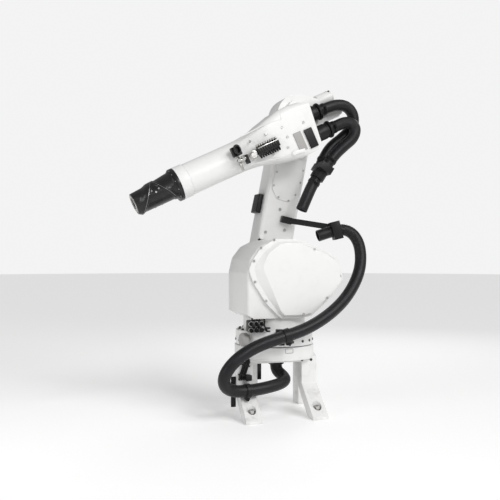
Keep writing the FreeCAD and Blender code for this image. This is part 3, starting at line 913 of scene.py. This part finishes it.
class BuildStage(bpy.types.Operator):
    """Adds the floor, the backdrop, the soft lights and the camera"""

    bl_idname = "robot.stage"
    bl_label = "Stage"

    def execute(self, context):
        scene = context.scene
        bm = bmesh.new()
        bmesh.ops.create_circle(bm, cap_ends=True, segments=96, radius=30)
        pale = finish("Pale floor", settings("stage").floor, 0.8, dust=0.0, drift=0.01)
        shader = next(node for node in pale.node_tree.nodes if node.type == "BSDF_PRINCIPLED")
        shader.inputs["Emission Color"].default_value = (1, 1, 1, 1)
        shader.inputs["Emission Strength"].default_value = 0.16
        floor = keep(bm, "studio_floor", pale)
        world = bpy.data.worlds.new("Studio")
        world.use_nodes = True
        tree = world.node_tree
        soft = tree.nodes["Background"]
        soft.inputs[0].default_value = (1, 1, 1, 1)
        soft.inputs[1].default_value = 0.36
        seen = add(tree, "ShaderNodeBackground", {0: (1, 1, 1, 1), 1: 0.9})
        path = add(tree, "ShaderNodeLightPath")
        both = add(tree, "ShaderNodeMixShader", {0: path.outputs[0], 1: soft.outputs[0], 2: seen.outputs[0]})
        tree.links.new(both.outputs[0], tree.nodes["World Output"].inputs[0])
        scene.world = world
        middle = Vector((0, 0, 1.1))
        sun = bpy.data.lights.new("window", "SUN")
        sun.energy = settings("stage").sun_strength
        sun.angle = math.radians(34)
        lamp = bpy.data.objects.new("window", sun)
        lamp.rotation_euler = Vector((3.0, -4.6, -4.4)).to_track_quat("-Z", "Y").to_euler()
        scene.collection.objects.link(lamp)
        for name, place, size, share in (
            ("rim", (-2.6, -3.4, 3.2), 1.6, 0.5),
            ("strip", (-0.8, 4.4, 3.4), 1.0, 0.9),
            ("fill", (3.6, 1.6, 2.2), 1.6, 0.45),
        ):
            light = bpy.data.lights.new(name, "AREA")
            light.shape = "DISK"
            light.size = size
            light.energy = settings("stage").lamp_power * share
            lamp = bpy.data.objects.new(name, light)
            lamp.location = place
            lamp.rotation_euler = (middle - Vector(place)).to_track_quat("-Z", "Y").to_euler()
            scene.collection.objects.link(lamp)
        lens = bpy.data.cameras.new("view")
        lens.lens = 54
        lens.sensor_width = 36
        camera = bpy.data.objects.new("view", lens)
        camera.location = (1.6149, 4.7347, 1.07)
        camera.rotation_euler = Vector((-0.2924, -0.9563, 0)).to_track_quat("-Z", "Y").to_euler()
        scene.collection.objects.link(camera)
        scene.camera = camera
        scene.view_settings.view_transform = "Standard"
        return {"FINISHED"}


def wire(places, radius):
    """The surface of a thin round wire through a row of places, with closed ends."""
    curve = bpy.data.curves.new("wire", "CURVE")
    curve.dimensions = "3D"
    curve.bevel_depth = radius
    curve.bevel_resolution = 3
    curve.use_fill_caps = True
    spline = curve.splines.new("POLY")
    spline.points.add(len(places) - 1)
    for point, place in zip(spline.points, places):
        point.co = (*place, 1)
    holder = bpy.data.objects.new("wire", curve)
    bpy.context.scene.collection.objects.link(holder)
    bpy.context.view_layer.update()
    shape = holder.evaluated_get(bpy.context.evaluated_depsgraph_get())
    bm = bmesh.new()
    bm.from_mesh(bpy.data.meshes.new_from_object(shape))
    bpy.data.objects.remove(holder)
    bmesh.ops.remove_doubles(bm, verts=bm.verts, dist=1e-6)
    bmesh.ops.recalc_face_normals(bm, faces=bm.faces)
    return bm


def cable(bm, places, radius):
    """Adds a short cable that bends smoothly through a few places."""
    places = [Vector(place) for place in places]
    ends = [places[0] * 2 - places[1]] + places + [places[-1] * 2 - places[-2]]
    run = []
    for a, b, c, d in zip(ends, ends[1:], ends[2:], ends[3:]):
        for k in range(8):
            t = k / 8
            square = 2 * a - 5 * b + 4 * c - d
            cube = 3 * b - a - 3 * c + d
            run.append(0.5 * (2 * b + (c - a) * t + square * t * t + cube * t * t * t))
    run.append(places[-1])
    part = wire(run, radius)
    mesh = bpy.data.meshes.new("cable")
    part.to_mesh(mesh)
    part.free()
    bm.from_mesh(mesh)
    bpy.data.meshes.remove(mesh)


def bead(name, node, places, radius, material, towards=(0, -1, 0), closed=False):
    """A thin raised line that lies on a part's surface, such as a cast crease or a panel's edge."""
    seat = Seat(node)
    places = [Vector(place) for place in places] + ([Vector(places[0])] if closed else [])
    run = []
    for first, second in zip(places, places[1:]):
        count = max(2, int((second - first).length / 0.012))
        run += [first.lerp(second, k / count) for k in range(count)]
    run.append(places[-1])
    bm = wire([seat.at(place, towards)[0] for place in run], radius)
    return keep(bm, name, material, BODY_OF[node])


class BuildCreases(bpy.types.Operator):
    """Adds the raised creases of the elbow housing, the raised edge of the base's small plate, and the
    housing's boss and lug
    """

    bl_idname = "robot.creases"
    bl_label = "Creases and seals"

    def execute(self, context):
        upper = [(0.267, 0, 1.795), (0.128, 0, 1.870), (0.003, 0, 1.918), (0.008, 0, 1.950)]
        bead("housing_upper_crease", "elbow_housing", upper, 0.0034, white_paint())
        lower = [(0.172, 0, 1.630), (0.0, 0, 1.668), (-0.074, 0, 1.700)]
        lower += [(-0.150, 0, 1.722), (-0.205, 0, 1.745)]
        bead("housing_lower_crease", "elbow_housing", lower, 0.0034, white_paint())
        plate = [(0.012, 0, 0.443), (-0.039, 0, 0.443), (-0.039, 0, 0.416), (0.012, 0, 0.416)]
        bead("base_plate_edge", "base_casting", plate, 0.0022, grey_paint(), closed=True)
        seat = Seat("elbow_housing")
        bm = bmesh.new()
        hit, normal = seat.at((-0.088, 0, 1.700), -LEFT)
        boss = [(0, 0.012), (0.012, 0.012), (0.014, 0.010), (0.019, 0.004), (0.020, -0.004), (0, -0.004)]
        stamp(bm, lathe(boss, steps=32), pose(hit, LEFT))
        hit, normal = seat.at((-0.125, 0, 1.712), -LEFT)
        lug = Matrix.Translation(hit) @ Matrix.Rotation(0.28, 4, "Y")
        stamp(bm, block((0.080, 0.026, 0.024), 0.004), lug)
        keep(bm, "housing_lug", white_paint(), "forearm")
        return {"FINISHED"}


class BuildFasteners(bpy.types.Operator):
    """Adds the screws of the covers, the elbow housing and the turning ring"""

    bl_idname = "robot.fasteners"
    bl_label = "Screws and bolts"

    def execute(self, context):
        radius = settings("fastener").cover_screw
        screw = socket_screw(radius, 0.005)
        places = [
            (0.080, 0.3, 1.1334),
            (-0.200, 0.3, 1.118),
            (0.1664, 0.3, 1.0826),
            (0.214, 0.3, 1.0009),
            (0.206, 0.3, 0.8688),
            (0.1332, 0.3, 0.7479),
            (0.0127, 0.3, 0.652),
            (-0.1092, 0.3, 0.662),
            (-0.300, 0.3, 0.730),
            (-0.375, 0.3, 0.900),
        ]
        screws_on("side_cover_screws", "side_cover", places, screw, steel())
        places = [
            (0.1054, 0.1, 1.8164),
            (-0.0037, 0.1, 1.8634),
            (-0.041, 0.1, 1.804),
            (-0.0449, 0.1, 1.7355),
            (0.055, 0.1, 1.688),
            (0.2071, 0.1, 1.7665),
            (-0.150, 0.1, 1.905),
        ]
        screws_on("housing_screws", "elbow_housing", places, screw, steel())
        mirrored = [(x, -y, z) for x, y, z in places[:2] + places[4:6]]
        screws_on("housing_screws_right", "elbow_housing", mirrored, screw, steel(), towards=(0, 1, 0))
        places = [
            (-0.1005, 0, 1.6169),
            (-0.0775, 0, 1.5216),
            (-0.1116, 0, 1.440),
            (-0.1861, 0, 1.416),
            (-0.300, 0, 1.6306),
            (-0.276, 0, 1.5446),
            (-0.238, 0, 1.458),
            (-0.120, 0, 1.700),
        ]
        screws_on("arm_cover_screws", "arm_side_cover", places, socket_screw(radius * 0.85, 0.005), steel())
        bm = bmesh.new()
        count = settings("fastener").ring_bolts
        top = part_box("turntable")[0].z
        head = hexagon_bolt(0.011, 0.010)
        for k in range(count):
            turn = math.tau * (k + 0.5) / count
            out = Vector((math.cos(turn), math.sin(turn), 0))
            stamp(bm, head, pose(out * 0.231 + UP * 0.548, UP, k))
            stamp(bm, screw, pose(out * 0.2548 + UP * (top + 0.034), out, k))
        keep(bm, "turning_ring_bolts", dark_steel(), "turret")
        places = [(-0.142, 0.1, 0.352), (-0.205, 0.1, 0.352), (0.22, 0.1, 0.352), (0.28, 0.1, 0.352)]
        screws_on("web_screws", "base_casting", places, screw, dark_steel())
        return {"FINISHED"}


class BuildWristDetails(bpy.types.Operator):
    """Adds the wrist's flange bolts, its seam rings, whose light grey paints the highlight lines along the
    seams, and small screws
    """

    bl_idname = "robot.wrist_details"
    bl_label = "Wrist details"

    def execute(self, context):
        forward = TUBE.to_3x3().col[0]
        bm = bmesh.new()
        head = socket_screw(0.0040, 0.004)
        for k in range(12):
            turn = math.tau * (k + 0.4) / 12
            place = TUBE @ Vector((1.0805, 0.1025 * math.cos(turn), 0.1025 * math.sin(turn)))
            stamp(bm, head, pose(place, forward, k))
        keep(bm, "wrist_flange_bolts", steel(), "wrist_root")
        middle = Seat("wrist_middle")
        bm = bmesh.new()
        small = socket_screw(0.006, 0.004)
        for turn in steps(0, math.tau, 4)[:-1]:
            for along, shift in ((1.196, 0.25), (1.222, 0.1), (1.244, 0.3)):
                out = TUBE.to_3x3() @ Vector((0, math.cos(turn + shift), math.sin(turn + shift)))
                hit, normal = middle.at(TUBE @ Vector((along, 0, 0)) + out * 0.1, -out)
                stamp(bm, small, pose(hit - normal * 0.0045, normal, turn))
        keep(bm, "wrist_middle_screws", steel(), "wrist_link")
        # The seam rings are real, and their light grey paints the highlight lines along the wrist's seams.
        for name, matrix, side in (("rear_seam_ring", REAR_SEAM, 1), ("front_seam_ring", FRONT_SEAM, -1)):
            bm = bmesh.new()
            inside = SEAM_RING - 0.01
            profile = [(inside, 0.0004), (SEAM_RING, 0.0004), (SEAM_RING, 0.0022), (inside, 0.0022)]
            profile = [(out, along * side) for out, along in profile][::side]
            stamp(bm, lathe(profile, steps=96, closed=True), matrix @ Matrix.Rotation(math.pi / 2, 4, "Y"))
            keep(bm, name, seam_highlight_metal(), "wrist_link")
        bm = bmesh.new()
        profile = [
            (0.0362, -0.012),
            (0.0362, 0.0015),
            (0.040, 0.0015),
            (0.040, -0.001),
            (0.052, -0.001),
            (0.052, 0.001),
            (0.0575, 0.001),
            (0.0575, -0.012),
        ]
        face = seam(1.366, 0) @ Matrix.Rotation(math.pi / 2, 4, "Y")
        stamp(bm, lathe(profile, steps=72, closed=True), face)
        keep(bm, "tool_ring_steps", steel(), "wrist_tip")
        return {"FINISHED"}


class BuildValves(bpy.types.Operator):
    """Adds the valve block's push-in fittings, the ball valve's nuts and lever, and the tie block's loop"""

    bl_idname = "robot.valves"
    bl_label = "Valves and fittings"

    def execute(self, context):
        turned = FORE.to_3x3()
        bodies, collars = bmesh.new(), bmesh.new()
        body = lathe([(0, -0.008), (0.0050, -0.008), (0.0050, 0.010), (0.004, 0.012), (0, 0.012)], steps=16)
        collar = lathe([(0, -0.003), (0.0068, -0.003), (0.0068, 0.006), (0.005, 0.008), (0, 0.008)], steps=16)
        for k in range(9):
            along = 0.3815 + 0.017 * k
            for height, way in ((-0.142, -1), (-0.070, 1)):
                for depth in (0.162, 0.171):
                    place = pose(FORE @ Vector((along, depth, height)), turned @ Vector((0, 0, way)))
                    stamp(collars if way > 0 else bodies, collar if way > 0 else body, place)
            face = pose(FORE @ Vector((along, 0.184, -0.106)), LEFT)
            stamp(bodies, block((0.011, 0.030, 0.006), 0.0015), face @ Matrix.Rotation(FORE_PITCH, 4, "Z"))
        tilt = Matrix.Rotation(FORE_PITCH, 4, "Y")
        rail = Matrix.Translation(FORE @ Vector((0.4495, 0.1850, -0.086))) @ tilt
        stamp(collars, block((0.150, 0.005, 0.007), 0.001), rail)
        keep(bodies, "valve_fittings", black_plastic(), "forearm")
        keep(collars, "valve_fitting_collars", steel(), "forearm")
        bm = bmesh.new()
        nut = lathe(
            [(0, -0.009), (0.018, -0.009), (0.020, -0.007), (0.020, 0.007), (0.018, 0.009), (0, 0.009)],
            steps=24,
            hexed=(1, 2, 3, 4),
        )
        ahead = turned @ Vector((1, 0, 0))
        for along, height in ((0.540, -0.112), (0.588, -0.116), (0.628, -0.104), (0.660, -0.100)):
            stamp(bm, nut, pose(FORE @ Vector((along, 0.150, height)), ahead))
        barrel = lathe([(0, -0.07), (0.011, -0.07), (0.011, 0.07), (0, 0.07)], steps=24)
        stamp(bm, barrel, pose(FORE @ Vector((0.602, 0.150, -0.109)), ahead))
        cap = [(0, 0.012), (0.019, 0.012), (0.022, 0.009), (0.023, 0.003)]
        cap += [(0.0285, 0.001), (0.0285, -0.01), (0, -0.01)]
        stamp(bm, lathe(cap, steps=32), pose(FORE @ Vector((0.563, 0.176, -0.114)), LEFT))
        strip = Matrix.Translation(FORE @ Vector((0.650, 0.1175, -0.140))) @ tilt
        stamp(bm, block((0.020, 0.005, 0.080), 0.0012), strip)
        keep(bm, "ball_valve_nuts", steel(), "forearm")
        bm = bmesh.new()
        loop = [(0.017, -0.012), (0.024, -0.012), (0.0255, -0.010)]
        loop += [(0.0255, 0.010), (0.024, 0.012), (0.017, 0.012)]
        place = FORE @ Matrix.Translation((0.648, 0.168, -0.040)) @ Matrix.Rotation(math.pi / 2, 4, "X")
        stamp(bm, lathe(loop, steps=40, closed=True), place @ Matrix.Diagonal((0.9, 1.35, 1, 1)))
        keep(bm, "tie_block_loop", black_plastic(), "forearm")
        return {"FINISHED"}


class BuildSmallParts(bpy.types.Operator):
    """Adds the arm's plug and slot, the drive block's connectors and the rings of the glands"""

    bl_idname = "robot.small_parts"
    bl_label = "Small parts"

    def execute(self, context):
        arm = Seat("lower_arm")
        bm = bmesh.new()
        for place in ((-0.1265, 0, 1.3544), (-0.020, 0, 1.195), (-0.16, 0, 1.21)):
            hit, normal = arm.at(place, -LEFT)
            stamp(bm, hexagon_bolt(0.011, 0.008), pose(hit, normal))
        keep(bm, "arm_plugs", steel(), "lower_link")
        bm = bmesh.new()
        hit, normal = arm.at((0.012, 0, 1.150), -LEFT)
        slot_place = Matrix.Translation(hit) @ Matrix.Rotation(math.radians(24), 4, "Y")
        stamp(bm, block((0.052, 0.003, 0.012), 0.0013), slot_place)
        keep(bm, "arm_slot", black_plastic(), "lower_link")
        low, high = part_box("drive_block")
        middle = (Vector(low) + Vector(high)) / 2
        sockets, rims = bmesh.new(), bmesh.new()
        cup = [(0, 0.016), (0.011, 0.016), (0.011, 0.024), (0.014, 0.024), (0.014, -0.003), (0, -0.003)]
        shell = lathe(cup)
        rim = lathe([(0.0138, 0.010), (0.0165, 0.010), (0.0165, 0.018), (0.0138, 0.018)], closed=True)
        for k in range(3):
            for height in (-0.022, 0.018):
                place = pose(Vector((middle.x + 0.034 * (k - 1), high[1], middle.z + height)), LEFT)
                stamp(sockets, shell, place)
                stamp(rims, rim, place)
        keep(sockets, "drive_connectors", black_plastic(), "turret")
        keep(rims, "drive_connector_rims", steel(), "turret")
        bm = bmesh.new()
        front, top = high[1], high[2]
        for k, (shift, end) in enumerate(((0.034, 0.165), (0.0, 0.125), (-0.034, 0.09))):
            start = Vector((middle.x + shift, front + 0.016, middle.z + 0.018))
            bend = start + Vector((-0.008, 0.022, -0.004))
            fall = start + Vector((-0.030, 0.020, -0.034 - 0.006 * k))
            hit, normal = Seat("turntable").at((end, 0.4, 0.553 + 0.009 * k), -LEFT)
            rise = hit + normal * 0.014 + Vector((0.03, 0, 0))
            cable(bm, [start, bend, fall, rise, hit - normal * 0.003], 0.0055)
        for shift in (-0.02, 0.012):
            foot = Vector((middle.x + shift, middle.y, top - 0.002))
            bends = [(0, 0, 0), (0, 0.006, 0.022), (-0.03, 0.012, 0.024)]
            bends += [(-0.048, 0.004, 0.004), (-0.052, 0, -0.03)]
            cable(bm, [foot + Vector(bend) for bend in bends], 0.0045)
        keep(bm, "drive_cables", black_plastic(), "turret")
        bm = bmesh.new()
        for shift in (-0.015, 0.0, 0.015):
            line = [(0.236, 0.150, 0.372), (0.240, 0.162, 0.352), (0.250, 0.160, 0.318)]
            line += [(0.262, 0.159, 0.284), (0.268, 0.162, 0.258), (0.268, 0.149, 0.244)]
            cable(bm, [Vector(place) + Vector((shift, 0, 0)) for place in line], 0.0072)
        for place in ((0.245, 0.158, 0.336), (0.264, 0.158, 0.272)):
            turn = Matrix.Translation(Vector(place)) @ Matrix.Rotation(-0.28, 4, "Y")
            stamp(bm, block((0.058, 0.020, 0.010), 0.002), turn)
        keep(bm, "leg_cables", black_plastic(), "base")
        bm = bmesh.new()
        behind = FORE.to_3x3() @ Vector((-1, 0, 0))
        for side, height, radius in ((0, -0.027, 0.048), (0.052, -0.165, 0.048)):
            place = pose(FORE @ Vector((-0.020, side, height)), behind)
            rim = [(0.040, 0.0), (0.057, 0.0), (0.059, 0.003), (0.059, 0.013)]
            rim += [(0.055, 0.018), (0.044, 0.020), (0.040, 0.014)]
            stamp(bm, lathe(rim, steps=64, closed=True), place @ Matrix.Translation((0, 0, 0.012)))
            for k in range(24):
                turn = math.tau * k / 24
                shift = Matrix.Rotation(turn, 4, "Z") @ Matrix.Translation((radius, 0, 0))
                stamp(bm, block((0.004, 0.006, 0.018), 0.0012), place @ shift)
        keep(bm, "gland_grips", black_plastic(), "forearm")
        bm = bmesh.new()
        for node in ("wrist_motor_lower", "wrist_motor_upper"):
            low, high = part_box(node)
            centre = (Vector(low) + Vector(high)) / 2
            place = Matrix.Translation(centre + Vector((-0.02, 0, 0.045)))
            place = place @ Matrix.Rotation(FORE_PITCH, 4, "Y")
            stamp(bm, block((0.045, 0.036, 0.03), 0.004), place)
        keep(bm, "motor_plugs", black_plastic(), "forearm")
        bm = bmesh.new()
        nut = [(0.0115, -0.002), (0.0215, -0.002), (0.0215, 0.016), (0.019, 0.018), (0.0115, 0.018)]
        for node in ("front_levelling_bolt", "rear_levelling_bolt"):
            low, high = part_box(node)
            place = Vector(((low[0] + high[0]) / 2, (low[1] + high[1]) / 2, high[2] - 0.014))
            stamp(bm, lathe(nut, steps=24, hexed=(1, 2, 3), closed=True), Matrix.Translation(place))
        keep(bm, "levelling_nuts", steel(), "base")
        bm = bmesh.new()
        lip = [(0.255, 0.3665), (0.2635, 0.3665), (0.2645, 0.3685)]
        lip += [(0.2645, 0.3735), (0.2635, 0.3755), (0.255, 0.3755)]
        stamp(bm, lathe(lip, steps=128, closed=True), BASE)
        keep(bm, "drum_lip", white_paint(), "base")
        return {"FINISHED"}


# ------------------------------------------------------------- add-on


class RobotPanel(bpy.types.Panel):
    """Lists the robot's pieces and settings"""

    bl_idname = "VIEW3D_PT_robot_arm"
    bl_label = "Painting Robot Arm"
    bl_space_type = "VIEW_3D"
    bl_region_type = "UI"
    bl_category = "Robot"

    def draw(self, context):
        for name, group in SETTING_GROUPS.items():
            box = self.layout.box()
            for prop in group.__annotations__:
                box.prop(getattr(context.scene, "robot_" + name), prop)
        for operator in OPERATORS:
            self.layout.operator(operator.bl_idname)


SETTING_GROUPS = {
    "paint": PaintSettings,
    "hose": HoseSettings,
    "fastener": FastenerSettings,
    "stage": StageSettings,
}
OPERATORS = [
    BuildStage,
    DressFrame,
    BuildHoses,
    BuildCreases,
    BuildFasteners,
    BuildWristDetails,
    BuildValves,
    BuildSmallParts,
]


def register():
    for item in (*SETTING_GROUPS.values(), *OPERATORS, RobotPanel):
        bpy.utils.register_class(item)
    for name, group in SETTING_GROUPS.items():
        setattr(bpy.types.Scene, "robot_" + name, PointerProperty(type=group))


def unregister():
    for name in SETTING_GROUPS:
        delattr(bpy.types.Scene, "robot_" + name)
    for item in (RobotPanel, *reversed(OPERATORS), *SETTING_GROUPS.values()):
        bpy.utils.unregister_class(item)


def main():
    register()
    for operator in OPERATORS:
        group, name = operator.bl_idname.split(".")
        getattr(getattr(bpy.ops, group), name)()


if __name__ == "__main__":
    main()
